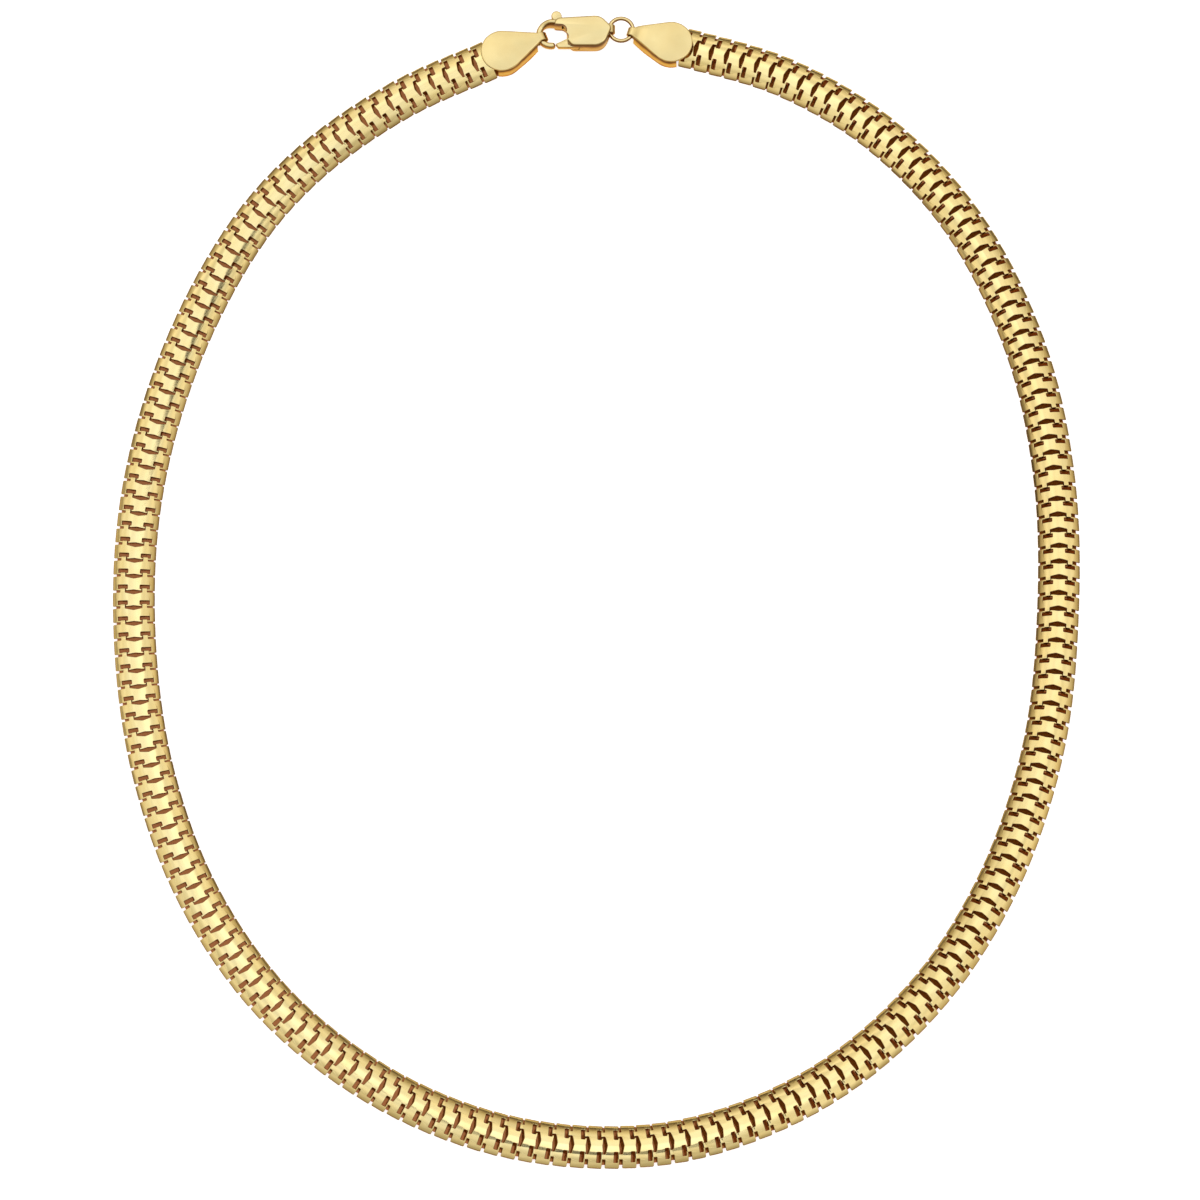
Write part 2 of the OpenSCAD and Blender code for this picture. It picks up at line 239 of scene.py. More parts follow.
# the caps, the clasp and the ring as far as they set where the chain ends
cap_l, tip_w, cap_mouth = 5.85, 1.2, 1.5
turn_left, turn_right = 21.5, 17
hook_w, hook_t, eye_d, body_l, body_w = 0.85, 1.25, 2.55, 5.85, 4.55
ring_d, ring_wire = 4, 0.6
slack, tail_w = 0.12, 1.25
body_y = -0.575
hook_r = (eye_d + hook_w) / 2
ring_r = (ring_d - ring_wire) / 2
hook_at = Vector((-body_l - 2.53, body_y - 0.225))
chain_in = cap_mouth + 0.4 - link_gap / 2
cap_left_at = Vector(route[0]) + toward(turn_left, chain_in)
hook_hold = hook_at - toward(turn_left, hook_r - stray(hook_r, tip_w) / 2)
clasp_at = cap_left_at + toward(turn_left, cap_l) - hook_hold
ring_at = clasp_at + Vector((ring_r - stray(ring_r, tail_w) / 2, 0))
cap_right_at = ring_at + toward(-turn_right, ring_r - stray(ring_r, tip_w) / 2 + cap_l)
finish_at = cap_right_at + toward(-turn_right, chain_in) + Vector((0, 0.45))

# a smooth curve through the route, with a stop beyond each end that sets its direction there
stops = [Vector(p) for p in route] + [finish_at]
stops = [stops[0] + toward(turn_left, 9)] + stops + [finish_at + toward(180 - turn_right, 11)]
curve_steps = 10
curve_points = []
for i in range(1, len(stops) - 2):
    a, b, c, d = stops[i - 1:i + 3]
    for k in range(curve_steps):
        t = k / curve_steps
        curve_points.append(0.5 * (2 * b + (c - a) * t + (2 * a - 5 * b + 4 * c - d) * t * t
                                   + (3 * b - a - 3 * c + d) * t * t * t))
curve_points.append(finish_at)
reach = [0.0]
for a, b in zip(curve_points, curve_points[1:]):
    reach.append(reach[-1] + (b - a).length)
chain_l = reach[-1]
link_count = round(chain_l / pitch_cad)
pitch = chain_l / link_count


def place(s):
    """The place on the curve, s from its start."""
    i = max(k for k in range(len(reach) - 1) if reach[k] <= s)
    t = (s - reach[i]) / (reach[i + 1] - reach[i])
    return curve_points[i].lerp(curve_points[i + 1], t)


def heading(s):
    run = place(min(chain_l, s + pitch_cad / 2)) - place(max(0, s - pitch_cad / 2))
    return atan2(run.y, run.x)


def link_place(k):
    """Where link k lies: along the route, leaning inwards, its front edge low."""
    s = (k + 0.5) * pitch
    at = place(s)
    return (Matrix.Translation((at.x, at.y, half_l * sin(slope)))
            @ Matrix.Rotation(heading(s), 4, "Z")
            @ Matrix.Translation((0, link_w / 2, 0)) @ Matrix.Rotation(-lean, 4, "X")
            @ Matrix.Translation((0, -link_w / 2, 0)) @ Matrix.Rotation(slope, 4, "Y"))


# Gold finish
# Polished gold plate. Its roughness wanders a little, as on any rubbed piece, fine polishing
# lines run one way across it, and its colour shifts slightly from pale to warm gold. Its upright
# faces get painted reflections and shade instead: bands of colour by height, wavering in streaks.
def add(tree, kind, output, inputs, **settings):
    """The named output of a new node, whose inputs are given values or joined to outputs."""
    node = tree.nodes.new("ShaderNode" + kind)
    for name, value in settings.items():
        setattr(node, name, value)
    for name, value in inputs.items():
        if isinstance(value, bpy.types.NodeSocket):
            tree.links.new(value, node.inputs[name])
        else:
            node.inputs[name].default_value = value
    return node.outputs[output]


def mixed(tree, factor, a, b, **settings):
    """The colour that goes from a to b with the factor."""
    return add(tree, "Mix", "Result", {"Factor": factor, "A": a, "B": b}, data_type="RGBA",
               **settings)


def ramp(tree, factor, stops):
    """The colour on a ramp with these stops, each a position and a colour."""
    colour = add(tree, "ValToRGB", "Color", {"Fac": factor})
    band = colour.node.color_ramp
    while len(band.elements) < len(stops):
        band.elements.new(1)
    for element, (at, shade) in zip(band.elements, stops):
        element.position = at
        element.color = (*shade, 1)
    return colour


def keep_tilt(mesh):
    """Store how far each corner faces up, by which the finish paints shade and reflections on
    walls.
    """
    tilt = mesh.attributes.new("tilt", "FLOAT", "CORNER")
    tilt.data.foreach_set("value", [n.vector.z for n in mesh.corner_normals])


wall_h, waver = 3, 0.3  # mm that a wall's colours cover, and the part of it that they waver by


def gold(name, pale, warm, walls, lines, roughness, relief, turn_over, way=(1, 1, 1),
         coords="Object"):
    """A node material; walls paint reflections and shade on upright faces: colours at heights in
    mm.
    """
    material = bpy.data.materials.new(name)
    material.use_nodes = True
    tree = material.node_tree
    shader = tree.nodes["Principled BSDF"]
    shader.inputs["Metallic"].default_value = 1
    where = add(tree, "TexCoord", "Object", {})
    cloud = add(tree, "TexNoise", "Fac", {"Vector": where, "Scale": 420, "Detail": 3})
    tint = mixed(tree, cloud, (*pale, 1), (*warm, 1))
    tilt = add(tree, "Attribute", "Fac", {}, attribute_name="tilt")
    upright = add(tree, "MapRange", "Result",
                  {"Value": tilt, "From Min": turn_over[0], "From Max": turn_over[1]})
    height = add(tree, "SeparateXYZ", "Z", {"Vector": where})
    level = add(tree, "MapRange", "Result", {"Value": height, "From Max": wall_h * MM})
    # streaks that make the bands of painted reflection and shade waver
    reflection_streaks = add(tree, "TexNoise", "Fac", {"Vector": where, "Scale": 700, "Detail": 1})
    wavered = add(tree, "Math", "Value", {0: reflection_streaks, 1: waver, 2: level}, operation="MULTIPLY_ADD")
    wall = ramp(tree, wavered, [(at / wall_h + waver / 2, shade) for at, shade in walls])
    tree.links.new(mixed(tree, upright, tint, wall), shader.inputs["Base Color"])
    rub = add(tree, "MapRange", "Result", {"Value": cloud, "From Min": 0.3, "From Max": 0.7,
                                           "To Min": roughness[0], "To Max": roughness[1]})
    tree.links.new(rub, shader.inputs["Roughness"])
    along = add(tree, "TexCoord", coords, {})
    stretch = add(tree, "Mapping", "Vector", {"Vector": along, "Scale": way})
    grain = add(tree, "TexNoise", "Fac", {"Vector": stretch, "Scale": lines, "Detail": 2})
    bump = add(tree, "Bump", "Normal", {"Height": grain, "Strength": relief, "Distance": 0.00002})
    tree.links.new(bump, shader.inputs["Normal"])
    return material


# Link finish
# The inside of each link and the leaf under it are painted dark brown and less metallic:
# painted shade under the dome. Its upright hems and edges are painted dark brown too, as
# painted shade. A small punch mark near the middle of its dome is a darker brown spot,
# painted shade of its dent.
# its upright hems and edges get dark brown walls: painted shade
chain_gold = gold("chain_gold", (0.9, 0.81, 0.47), (0.88, 0.7, 0.29),
                  [(0, (0.2, 0.1, 0.025)), (1, (0.34, 0.2, 0.06))], 34,
                  (0.05, 0.14), 0.14, (0.76, 0.58), (1, 0.08, 1), "UV")
tree = chain_gold.node_tree
shader = tree.nodes["Principled BSDF"]
polished = shader.inputs["Base Color"].links[0].from_socket
# the inside gets painted shade: dark brown and less metallic
inner = add(tree, "Attribute", "Fac", {}, attribute_name="inside")
inside_painted_shade = mixed(tree, inner, polished, (0.42, 0.13, 0.015, 1))
dull = add(tree, "MapRange", "Result", {"Value": inner, "To Min": 1, "To Max": 0.35})
tree.links.new(dull, shader.inputs["Metallic"])
on_blank = add(tree, "UVMap", "UV", {}, uv_map="UVMap")
# a darker brown spot on the blank: painted shade of the punch mark's dent
mark_at = (0.5, 0.5 - 0.3 / uv_span, 0)
to_mark = add(tree, "VectorMath", "Value", {0: on_blank, 1: mark_at}, operation="DISTANCE")
mark = add(tree, "MapRange", "Result",
           {"Value": to_mark, "From Min": 0.026, "From Max": 0.013, "To Max": 0.6})
tree.links.new(mixed(tree, mark, inside_painted_shade, (0.4, 0.22, 0.07, 1)), shader.inputs["Base Color"])


# Chain
# Two runs of 95 links each, laid along the route by Geometry Nodes and fused into one body each.
link_object = bpy.data.objects.new("link", link_mesh(pitch))
group = bpy.data.node_groups.new("links_on_route", "GeometryNodeTree")
for label, kind in (("Geometry", "NodeSocketGeometry"), ("Link", "NodeSocketObject"),
                    ("Finish", "NodeSocketMaterial")):
    group.interface.new_socket(label, in_out="INPUT", socket_type=kind)
group.interface.new_socket("Geometry", in_out="OUTPUT", socket_type="NodeSocketGeometry")
source = group.nodes.new("NodeGroupInput")
result = group.nodes.new("NodeGroupOutput")
turn = group.nodes.new("GeometryNodeInputNamedAttribute")
turn.data_type = "FLOAT_VECTOR"
turn.inputs["Name"].default_value = "turn"
to_rotation = group.nodes.new("FunctionNodeEulerToRotation")
info = group.nodes.new("GeometryNodeObjectInfo")
info.inputs["As Instance"].default_value = True
instances = group.nodes.new("GeometryNodeInstanceOnPoints")
realize = group.nodes.new("GeometryNodeRealizeInstances")
set_material = group.nodes.new("GeometryNodeSetMaterial")
group.links.new(source.outputs["Geometry"], instances.inputs["Points"])
group.links.new(source.outputs["Link"], info.inputs["Object"])
group.links.new(info.outputs["Geometry"], instances.inputs["Instance"])
group.links.new(turn.outputs["Attribute"], to_rotation.inputs["Euler"])
group.links.new(to_rotation.outputs["Rotation"], instances.inputs["Rotation"])
group.links.new(instances.outputs["Instances"], realize.inputs["Geometry"])
group.links.new(realize.outputs["Geometry"], set_material.inputs["Geometry"])
group.links.new(source.outputs["Finish"], set_material.inputs["Material"])
group.links.new(set_material.outputs["Geometry"], result.inputs["Geometry"])
socket = {item.name: item.identifier for item in group.interface.items_tree
          if item.in_out == "INPUT"}

half_way = link_count // 2
for node, first, end in (("chain_left", 0, half_way), ("chain_right", half_way, link_count)):
    places = [link_place(k) for k in range(first, end)]
    points = bpy.data.meshes.new(node + "_points")
    points.from_pydata([m.translation * MM for m in places], [], [])
    turns = points.attributes.new("turn", "FLOAT_VECTOR", "POINT")
    for entry, m in zip(turns.data, places):
        entry.vector = m.to_euler()
    holder = bpy.data.objects.new(node + "_points", points)
    bpy.context.collection.objects.link(holder)
    modifier = holder.modifiers.new("links", "NODES")
    modifier.node_group = group
    modifier[socket["Link"]] = link_object
    modifier[socket["Finish"]] = chain_gold
    bpy.context.view_layer.update()
    laid = holder.evaluated_get(bpy.context.evaluated_depsgraph_get())
    mesh = bpy.data.meshes.new_from_object(laid)
    keep_tilt(mesh)
    holder.modifiers.remove(modifier)
    bpy.data.objects.remove(holder)
    run = bpy.data.objects.new(node + "_links", mesh)
    bpy.context.collection.objects.link(run)
    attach(run, "necklace")
    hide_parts(node)


# End caps
# Each is pressed from sheet 0.25 mm thick: a flat plate with a softly rounded rim, side walls
# that flare towards the table, and a tip that slopes down and curls round the hook or the ring.
def circle(at, r, n=48):
    turns = [2 * pi * i / n for i in range(n)]
    return [Vector((at[0] + r * cos(a), at[1] + r * sin(a))) for a in turns]


def hull(points):
    """The convex outline round points, counter-clockwise."""
    points = sorted({(round(p[0], 5), round(p[1], 5)) for p in points})
    halves = []
    for run in (points, points[::-1]):
        half = []
        for p in run:
            while len(half) > 1 and ((half[-1][0] - half[-2][0]) * (p[1] - half[-2][1])
                                     - (half[-1][1] - half[-2][1]) * (p[0] - half[-2][0])) <= 0:
                half.pop()
            half.append(p)
        halves += half[:-1]
    return halves


def joined(name, mesh, operation, others):
    """The mesh after each of the others is added to it or cut from it."""
    holder = bpy.data.objects.new(name, mesh)
    bpy.context.collection.objects.link(holder)
    tools = []
    for other in others:
        tool = bpy.data.objects.new(name + "_tool", other)
        bpy.context.collection.objects.link(tool)
        modifier = holder.modifiers.new("join", "BOOLEAN")
        modifier.operation = operation
        modifier.solver = "EXACT"
        modifier.object = tool
        tools.append(tool)
    bpy.context.view_layer.update()
    made = bpy.data.meshes.new_from_object(
        holder.evaluated_get(bpy.context.evaluated_depsgraph_get()))
    for item in tools + [holder]:
        bpy.data.objects.remove(item)
    return made


def lofted(name, rings, ends=True):
    """A closed skin through rings of points of one count."""
    bm = bmesh.new()
    rows = [[bm.verts.new(p) for p in ring] for ring in rings]
    n = len(rings[0])
    for a, b in zip(rows, rows[1:] + ([] if ends else rows[:1])):
        for i in range(n):
            bm.faces.new((a[i], a[(i + 1) % n], b[(i + 1) % n], b[i]))
    if ends:
        bm.faces.new(rows[0][::-1])
        bm.faces.new(rows[-1])
    bmesh.ops.recalc_face_normals(bm, faces=bm.faces)
    mesh = bpy.data.meshes.new(name)
    bm.to_mesh(mesh)
    bm.free()
    return mesh


def strap_ring(at, r, wall, width):
    """A strap bent into a ring round an axis along Y, its edges rounded."""
    soft, n = 0.07, 40
    profile = [(r + wall, width / 2 - soft), (r + wall - soft, width / 2), (r + soft, width / 2),
               (r, width / 2 - soft)]
    profile += [(a, -y) for a, y in reversed(profile)]
    rings = [[Vector((at[0] + a * cos(2 * pi * k / n), at[1] + y, at[2] + a * sin(2 * pi * k / n)))
              for a, y in profile] for k in range(n)]
    return lofted("strap", rings, ends=False)


def bar(outline, low, high):
    """An upright bar from low to high over an outline."""
    return lofted("bar", [[Vector((p[0], p[1], z)) for p in outline] for z in (low, high)])


def bore(at, r, length):
    """A round bar along Y, for cutting a bore."""
    rings = [[Vector((at[0] + p[0], at[1] + y, at[2] + p[1])) for p in circle((0, 0), r)]
             for y in (-length / 2, length / 2)]
    return lofted("bore", rings)


def finished(name, mesh, at, turn, material, body, node, angle=35):
    """The mesh in mm set in its place as a piece that stands for a node."""
    mesh.transform(Matrix.Scale(MM, 4) @ Matrix.Translation((at[0], at[1], 0))
                   @ Matrix.Rotation(turn, 4, "Z"))
    for polygon in mesh.polygons:
        polygon.use_smooth = True
    mesh.validate()
    mesh.set_sharp_from_angle(angle=radians(angle))
    keep_tilt(mesh)
    mesh.materials.clear()
    mesh.materials.append(material)
    piece = bpy.data.objects.new(name, mesh)
    bpy.context.collection.objects.link(piece)
    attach(piece, body)
    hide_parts(node)
    return piece


mid_z = 1.4  # level of the hook, the tail loop and the jump ring
cap_r, cap_h, cap_wall, cap_bend = 3.025, 2.5, 0.25, 1.2
tip_wall, tip_foot, cap_flare, tip_flare = 0.2, 2.5, 0.05, 0.5
crease_x = cap_l - cap_bend


def touch(r, h):
    """The turn at which a straight wall from h off the axis at the tip meets the round end."""
    return atan2(h, cap_l) + acos(r / sqrt(cap_l ** 2 + h * h))


def cap_ring(inset, drop, hold_r, foot=False, ceiling=False):
    """One ring of the cap's skin, inset from its outline and drop below its top."""
    tip_top = mid_z + hold_r + tip_wall
    mouth = acos(-cap_mouth / cap_r)
    straight = touch(cap_r, tip_w / 2)
    turns = [straight + (pi - straight) * k / 16 for k in range(17)]
    half = [("arc", a) for a in sorted(turns + [mouth - 0.01, mouth + 0.01], reverse=True)]
    half += [("line", x) for x in
             (crease_x - 2.2, crease_x - 1.1, crease_x, cap_l - 0.6, cap_l)]
    ring = []
    for side, stations in ((1, half), (-1, half[:0:-1])):
        for kind, value in stations:
            x = value if kind == "line" else cap_r * cos(value)
            top = cap_h if x <= crease_x else cap_h + (tip_top - cap_h) * (x - crease_x) / cap_bend
            if foot and x < -cap_mouth:
                z = cap_h - cap_wall
            elif foot:
                z = max(0, (x - cap_l + tip_foot) / tip_foot * mid_z / 2)
            else:
                z = top - (cap_wall if ceiling else drop)
            spread = 1 - z / top
            r = cap_r - inset + cap_flare * spread
            h = tip_w / 2 - inset + tip_flare * spread
            end = touch(r, h)
            if kind == "arc":
                a = pi - (pi - value) * (pi - end) / (pi - straight)
                ring.append(Vector((r * cos(a), side * r * sin(a), z)))
            else:
                start = Vector((r * cos(end), r * sin(end)))
                t = (value - start.x) / (cap_l - start.x)
                ring.append(Vector((value, side * (start.y + (h - start.y) * t), z)))
    return ring


def cap_mesh(hold_r):
    """A cap on its own axis, whose tip curls round a wire with a bore of radius hold_r."""
    rings = [cap_ring(0.2, 0, hold_r), cap_ring(0.1, 0.02, hold_r), cap_ring(0.03, 0.07, hold_r),
             cap_ring(0, 0.16, hold_r), cap_ring(0, 0, hold_r, foot=True),
             cap_ring(cap_wall, 0, hold_r, foot=True), cap_ring(cap_wall, 0, hold_r, ceiling=True)]
    mesh = lofted("cap", rings)
    bm = bmesh.new()
    bm.from_mesh(mesh)
    bmesh.ops.bisect_plane(bm, geom=bm.verts[:] + bm.edges[:] + bm.faces[:], dist=1e-5,
                           plane_co=(crease_x, 0, 0), plane_no=(1, 0, 0))
    bm.to_mesh(mesh)
    bm.free()
    # room for the wire, and for the curled strap that replaces the end of the tip
    room = [(cap_l - hold_r, -1), (cap_l + 9, -1), (cap_l + 9, mid_z)]
    room += [(cap_l + hold_r * cos(pi * k / 20), mid_z + hold_r * sin(pi * k / 20))
             for k in range(21)]
    room = lofted("room", [[Vector((x, y, z)) for x, z in room] for y in (-6, 6)])
    mesh = joined("cap", mesh, "DIFFERENCE", [room])
    return joined("cap", mesh, "UNION", [strap_ring((cap_l, 0, mid_z), hold_r, tip_wall, tip_w)])


# Darker gold than the chain's: painted shade that tones down the flat top under the bright tent.
# Its upright walls get painted bands by height: a dark foot, orange and yellow painted reflections,
# and a dark line below a lighter rim.
cap_gold = gold("cap_gold", (0.78, 0.66, 0.34), (0.74, 0.58, 0.27),
                [(0, (0.38, 0.15, 0.025)), (0.35, (0.9, 0.47, 0.07)), (0.9, (0.98, 0.72, 0.22)),
                 (1.35, (0.86, 0.47, 0.08)), (1.75, (0.3, 0.13, 0.025)), (2.1, (0.14, 0.06, 0.012)),
                 (2.35, (0.5, 0.3, 0.09))], 9000,
                (0.12, 0.2), 0.1, (0.6, 0.25))
hold_left = hook_t / 2 + slack + stray(hook_r, tip_w)
hold_right = ring_wire / 2 + slack + stray(ring_d / 2, tip_w)
finished("cap_left_plate", cap_mesh(hold_left), cap_left_at, radians(turn_left), cap_gold,
         "necklace", "end_cap_left", 32)
finished("cap_right_plate", cap_mesh(hold_right), cap_right_at, radians(180 - turn_right), cap_gold,
         "necklace", "end_cap_right", 32)


# Clasp body
# A cast lobster clasp in one piece: a plump flat body with a rounded rim, a hook that springs
# flush from its top, a slot for the lever, and a strap loop at the tail for the jump ring.
body_t, body_edge, heel_r, shoulder_r, brow_r = 2.8, 0.28, 0.95, 1.9, 0.9
low_y, high_y = body_y - body_w / 2, body_y + body_w / 2
heel = Vector((heel_r - body_l, low_y + heel_r))
brow = heel + Vector((-2.1, body_w - heel_r - 1.2))
pivot = heel + Vector((0.15, 0))
elbow = brow + Vector((1, -0.15))
nub = brow + Vector((-0.55, 1.2))
hook_end = 278  # degrees round the hook at which its tip starts to close
hook_tip = hook_at + toward(hook_end, hook_r)
body_outline = hull(
    circle(heel, heel_r) + circle(brow, brow_r) + circle((-2.1, low_y + shoulder_r), shoulder_r, 72)
    + circle((-2.1, high_y - shoulder_r), shoulder_r, 72) + circle((-0.55, -0.15), 0.75))
body_mesh = stamped("body", [body_outline], body_t, body_edge, 3)

# the hook's opening, and the hollow of its foot above the gate
eye = hull(circle(hook_at, eye_d / 2) + circle(hook_at + Vector((1.4, 0.25)), eye_d * 0.36))
eye_foot = hull(circle(hook_at + Vector((1.2, -0.1)), 0.9)
                + circle(hook_at + Vector((1.88, -0.72)), 0.7))


def wire_ring(at, along, height, grow=1.0):
    """A softly squared section of the hook's wire, across its path."""
    across_path = Vector((-along.y, along.x))
    power = 2 / 2.8
    ring = []
    for k in range(24):
        c, s = cos(2 * pi * k / 24), sin(2 * pi * k / 24)
        c = abs(c) ** power * (1 if c > 0 else -1)
        s = abs(s) ** power * (1 if s > 0 else -1)
        flat = at + across_path * (c * hook_w / 2 * grow)
        ring.append(Vector((flat.x, flat.y, s * height / 2 * grow)))
    return ring


# the hook leaves the body nearly as high as it, and thins to its wire before it turns down
root_t = 2.5
hook_rings = [wire_ring(Vector((x, hook_at.y + hook_r - 0.03)), Vector((-1, 0)), root_t + 0.05)
              for x in (brow.x + 0.7, hook_at.x + 0.5)]
for k in range(33):
    a = 90 + (hook_end - 90) * k / 32
    ease = min(1, max(0, (a - 88) / 62))
    ease = ease * ease * (3 - 2 * ease)
    hook_rings.append(wire_ring(hook_at + toward(a, hook_r), toward(a + 90),
                                root_t + (hook_t - root_t) * ease))
onward = toward(hook_end + 90)
for k in range(1, 7):
    a = radians(90 * k / 6.3)
    hook_rings.append(wire_ring(hook_tip + onward * hook_w / 2 * sin(a), onward, hook_t, cos(a)))
hook_mesh = lofted("hook", hook_rings)


def swept(r, a):
    return pivot + toward(a, r)


def turn_of(p):
    return degrees(atan2(p[1] - pivot.y, p[0] - pivot.x))


# the slot inside the body, cut as wide as the lever's elbow and neck need from shut to open
slot_half, pin_r, heel_room = 0.55, 0.3, heel_r + 0.1
elbow_turn, elbow_l = turn_of(elbow), (elbow - pivot).length
nub_turn, nub_l = turn_of(nub), (nub - pivot).length
sweep = [swept(heel_r, elbow_turn + 20), swept(elbow_l, elbow_turn + 9),
         swept(elbow_l + 0.4, nub_turn + 5), swept(nub_l, nub_turn + 5),
         swept(nub_l + 3, nub_turn - 14), swept(nub_l, nub_turn - 38),
         swept(elbow_l, elbow_turn - 39), swept(heel_r, elbow_turn - 53)]
behind = [pivot + Vector(p) for p in ((-3, heel_room), (0, heel_room), (0, -3), (-3, -3))]
body_mesh = joined("body", body_mesh, "UNION", [hook_mesh])
tail_r = ring_wire / 2 + slack + stray(ring_d / 2, tail_w)
body_mesh = joined("body", body_mesh, "DIFFERENCE", [
    bar(eye, -4, 4), bar(eye_foot, -4, 4), bar(circle(pivot, heel_room), -slot_half, slot_half),
    bar(behind, -slot_half, slot_half), bar(sweep, -slot_half, slot_half),
    bore((0, 0, 0), tail_r, 9)])
body_mesh = joined("body", body_mesh, "UNION", [
    strap_ring((0, 0, 0), tail_r, 0.27, tail_w), bar(circle(pivot, pin_r), -0.6, 0.6)])
body_mesh.transform(Matrix.Translation((0, 0, mid_z)))
# Darker gold than the chain's: painted shade that tones down the flat top. Its upright sides get
# painted bands by height: a dark foot, orange and yellow painted reflections, dark shade up high.
clasp_gold = gold("clasp_gold", (0.8, 0.69, 0.38), (0.75, 0.6, 0.29),
                  [(0, (0.38, 0.15, 0.025)), (0.5, (0.85, 0.5, 0.12)), (1.2, (0.92, 0.64, 0.22)),
                   (1.7, (0.6, 0.3, 0.06)), (2.1, (0.16, 0.07, 0.015))], 9000,
                  (0.12, 0.2), 0.1, (0.93, 0.35))
finished("clasp_shell", body_mesh, clasp_at, 0, clasp_gold, "necklace", "clasp_body")


# Clasp lever
# A flat sprung lever on the pin: its gate closes the hook, and its thumb nub stands out of the
# top of the body. Its edges are rounded from tumbling.
gate_x = hook_tip.x + hook_w / 2
gate_tip = [(gate_x + 0.12, low_y + 0.5), (gate_x + 0.45, low_y + 0.1)]
gate = hull(circle(pivot, heel_r) + circle(gate_tip[0], 0.1, 16) + circle(gate_tip[1], 0.1, 16))
lever_t, arm_t, arm_r, thumb_r = 0.9, 0.88, 0.3, 0.74
lever_mesh = stamped("lever", [gate], lever_t, 0.12, 2)
arm = stamped("arm", [hull(circle(pivot, arm_r) + circle(elbow, arm_r))], arm_t, 0.1, 1)
knob = nub + Vector((-0.05, 0.27))
neck = stamped("neck", [hull(circle(elbow, 0.35) + circle(knob, 0.45))], arm_t, 0.1, 1)
thumb = stamped("thumb", [circle(knob, thumb_r)], lever_t, 0.16, 3)
lever_mesh = joined("lever", lever_mesh, "UNION", [arm, neck, thumb])
lever_mesh = joined("lever", lever_mesh, "DIFFERENCE", [bar(circle(pivot, pin_r + 0.05), -1, 1)])
lever_mesh.transform(Matrix.Translation((0, 0, mid_z)))
finished("clasp_trigger", lever_mesh, clasp_at, 0, clasp_gold, "lever", "clasp_lever")


# Jump ring
# Round wire just under 0.6 mm thick, closed with a soldered seam that shows as a faint collar.
seam, slimmer = (20, 21), 0.95  # the steps at the seam, and how thick the wire is elsewhere
ring_rings = []
for k in range(64):
    toward_k = toward(360 * k / 64)
    wire_r = ring_wire / 2 * (1 if k in seam else slimmer)
    ring_rings.append([
        Vector((*(toward_k * (ring_r + wire_r * cos(2 * pi * i / 16))),
                mid_z + wire_r * sin(2 * pi * i / 16))) for i in range(16)])
# the wire's upright sides are painted dark brown: painted shade
ring_gold = gold("ring_gold", (0.83, 0.71, 0.4), (0.77, 0.59, 0.28),
                 [(0, (0.2, 0.08, 0.015)), (1.6, (0.3, 0.14, 0.03))], 9000,
                 (0.08, 0.16), 0.1, (0.96, 0.7))
finished("ring_wire", lofted("ring", ring_rings, ends=False), ring_at, 0, ring_gold, "necklace",
         "jump_ring")


# Floor
# A plain white sheet, lit a little from below and wide enough for every view. In the metal's
# reflections it shows warm grey instead of white: a painted reflection that darkens the mirrored
# walls and hems.
floor_mesh = bpy.data.meshes.new("floor")
floor_mesh.from_pydata([(-3, -3, 0), (3, -3, 0), (3, 3, 0), (-3, 3, 0)], [], [(0, 1, 2, 3)])
floor = bpy.data.objects.new("floor", floor_mesh)
bpy.context.collection.objects.link(floor)
paper = bpy.data.materials.new("paper")
paper.use_nodes = True
tree = paper.node_tree
shader = tree.nodes["Principled BSDF"]
# warm grey to reflections only: painted reflection
mirrored = add(tree, "LightPath", "Is Glossy Ray", {})
shade = mixed(tree, mirrored, (0.95, 0.95, 0.95, 1), (0.56, 0.45, 0.28, 1))
tree.links.new(shade, shader.inputs["Base Color"])
tree.links.new(shade, shader.inputs["Emission Color"])
shader.inputs["Emission Strength"].default_value = 0.8
shader.inputs["Roughness"].default_value = 0.9
shader.inputs["Specular IOR Level"].default_value = 0
floor_mesh.materials.append(paper)


# Lights
# A broad soft box overhead and four low ones round the table light the sheet. The metal
# mirrors a white tent: bright overhead, warmer and dimmer low down, with a short dark gap where
# its sheets meet overhead, a little to the south-east, and a narrow one low in the west.
overhead, low_reach, low_height = 1.1, 0.9, 0.5
boxes = [((0, 0, overhead), 1.6, 10.5)]
boxes += [((low_reach * sin(k * pi / 2), low_reach * cos(k * pi / 2), low_height), 0.5, 0.6)
          for k in range(4)]
for at, size, power in boxes:
    light_data = bpy.data.lights.new("table_light", "AREA")
    light_data.size = size
    light_data.energy = power
    light = bpy.data.objects.new("table_light", light_data)
    light.location = at
    light.rotation_euler = (-Vector(at)).to_track_quat("-Z", "Y").to_euler()
    light.visible_glossy = False
    bpy.context.collection.objects.link(light)


def greys(stops):
    return [(at, (level, level, level)) for at, level in stops]


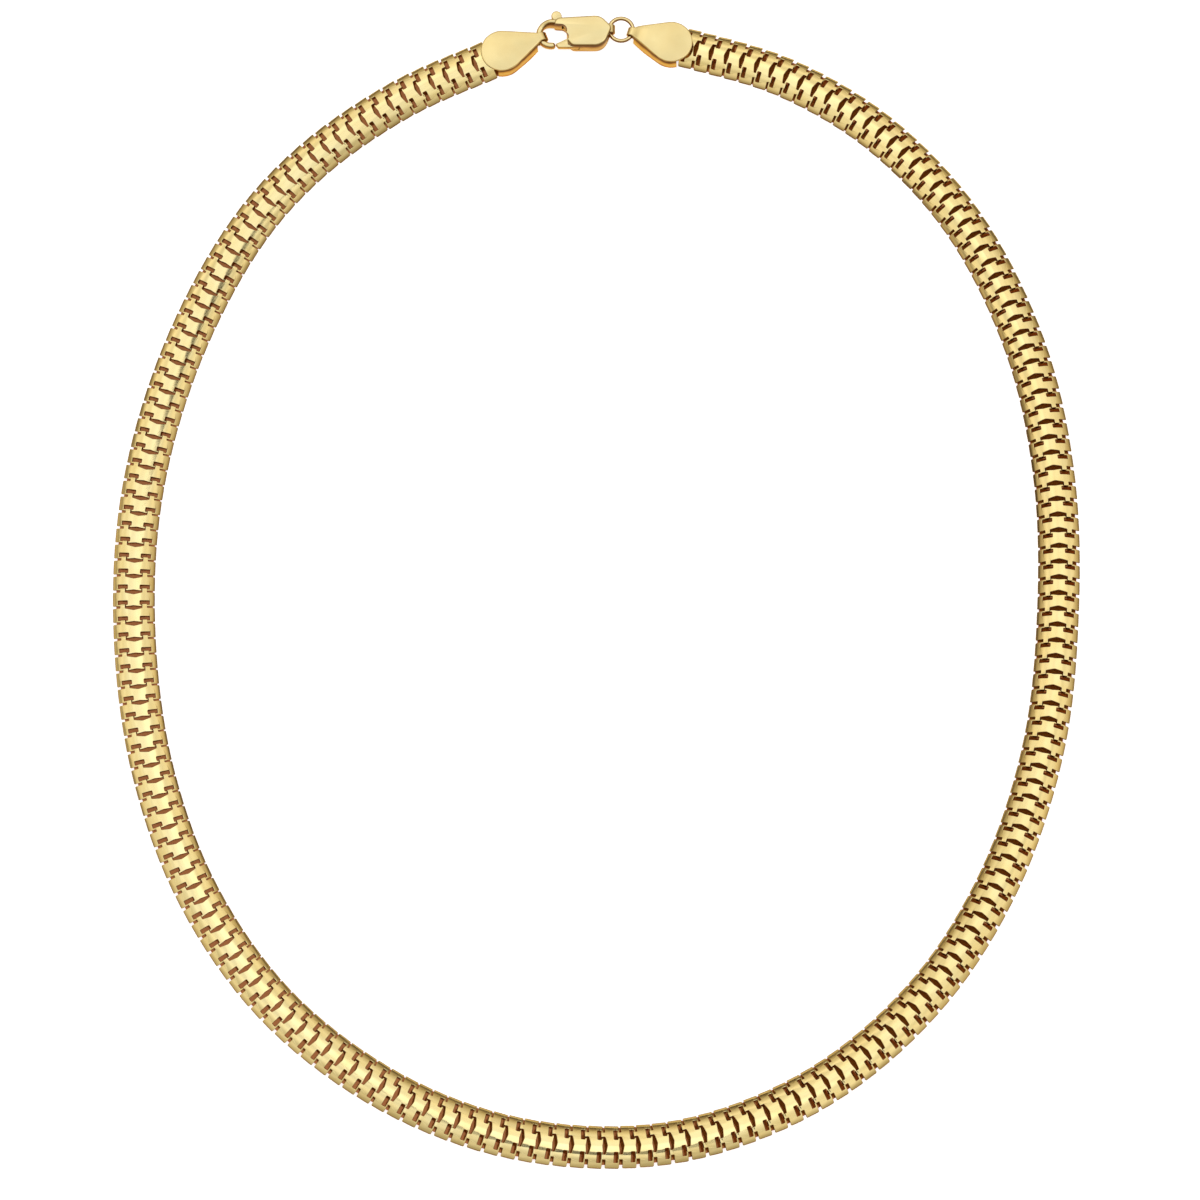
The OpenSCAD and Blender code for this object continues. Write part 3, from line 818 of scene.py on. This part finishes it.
tent = bpy.data.worlds.new("tent")
tent.use_nodes = True
tree = tent.node_tree
outward = add(tree, "TexCoord", "Generated", {})
east, north, up = (add(tree, "SeparateXYZ", axis, {"Vector": outward}) for axis in "XYZ")
from_west = add(tree, "MapRange", "Result", {"Value": east, "From Min": -1})
from_south = add(tree, "MapRange", "Result", {"Value": north, "From Min": -1})
height = ramp(tree, up, [
    (0, (0.1, 0.08, 0.05)), (0.1, (0.15, 0.11, 0.07)), (0.2, (0.4, 0.31, 0.19)),
    (0.4, (0.64, 0.54, 0.39)), (0.58, (0.9, 0.82, 0.68)), (0.76, (0.82, 0.76, 0.64)),
    (0.9, (1.05, 1.03, 0.98)), (1, (1, 1, 1))])
sheets = ramp(tree, from_south, greys([
    (0, 0.55), (0.3, 0.85), (0.42, 0.95), (0.55, 1.05), (0.68, 1.0), (0.76, 1.12), (0.88, 0.95),
    (1, 0.95)]))
gap_across = ramp(tree, from_south, greys([
    (0, 0), (0.33, 0), (0.345, 0.92), (0.37, 0.92), (0.385, 0.55), (0.4, 0.9), (0.425, 0.9),
    (0.44, 0), (1, 0)]))
gap_along = ramp(tree, from_west, greys([
    (0, 0), (0.57, 0), (0.61, 1), (0.7, 1), (0.735, 0), (1, 0)]))
west_gap = ramp(tree, from_west, greys([
    (0, 0), (0.02, 0), (0.03, 0.45), (0.045, 0.45), (0.055, 0), (1, 0)]))
short_gap = add(tree, "Math", "Value", {0: gap_across, 1: gap_along}, operation="MULTIPLY")
gaps = add(tree, "Math", "Value", {0: short_gap, 1: west_gap}, operation="MAXIMUM")
round_about = mixed(tree, gaps, sheets, (0, 0, 0, 1))
cloth = mixed(tree, 1, height, round_about, blend_type="MULTIPLY")
seen = add(tree, "LightPath", "Is Camera Ray", {})
background = tree.nodes["Background"]
tree.links.new(mixed(tree, seen, cloth, (0.8, 0.8, 0.8, 1)), background.inputs["Color"])
unevenness = add(tree, "TexNoise", "Fac", {"Vector": outward, "Scale": 2.6, "Detail": 1})
folds = add(tree, "MapRange", "Result", {"Value": unevenness, "From Min": 0.35, "From Max": 0.65,
                                         "To Min": 1.0, "To Max": 1.35})
tree.links.new(folds, background.inputs["Strength"])
tent.cycles_visibility.diffuse = False
bpy.context.scene.world = tent
bpy.context.scene.view_settings.view_transform = "Standard"
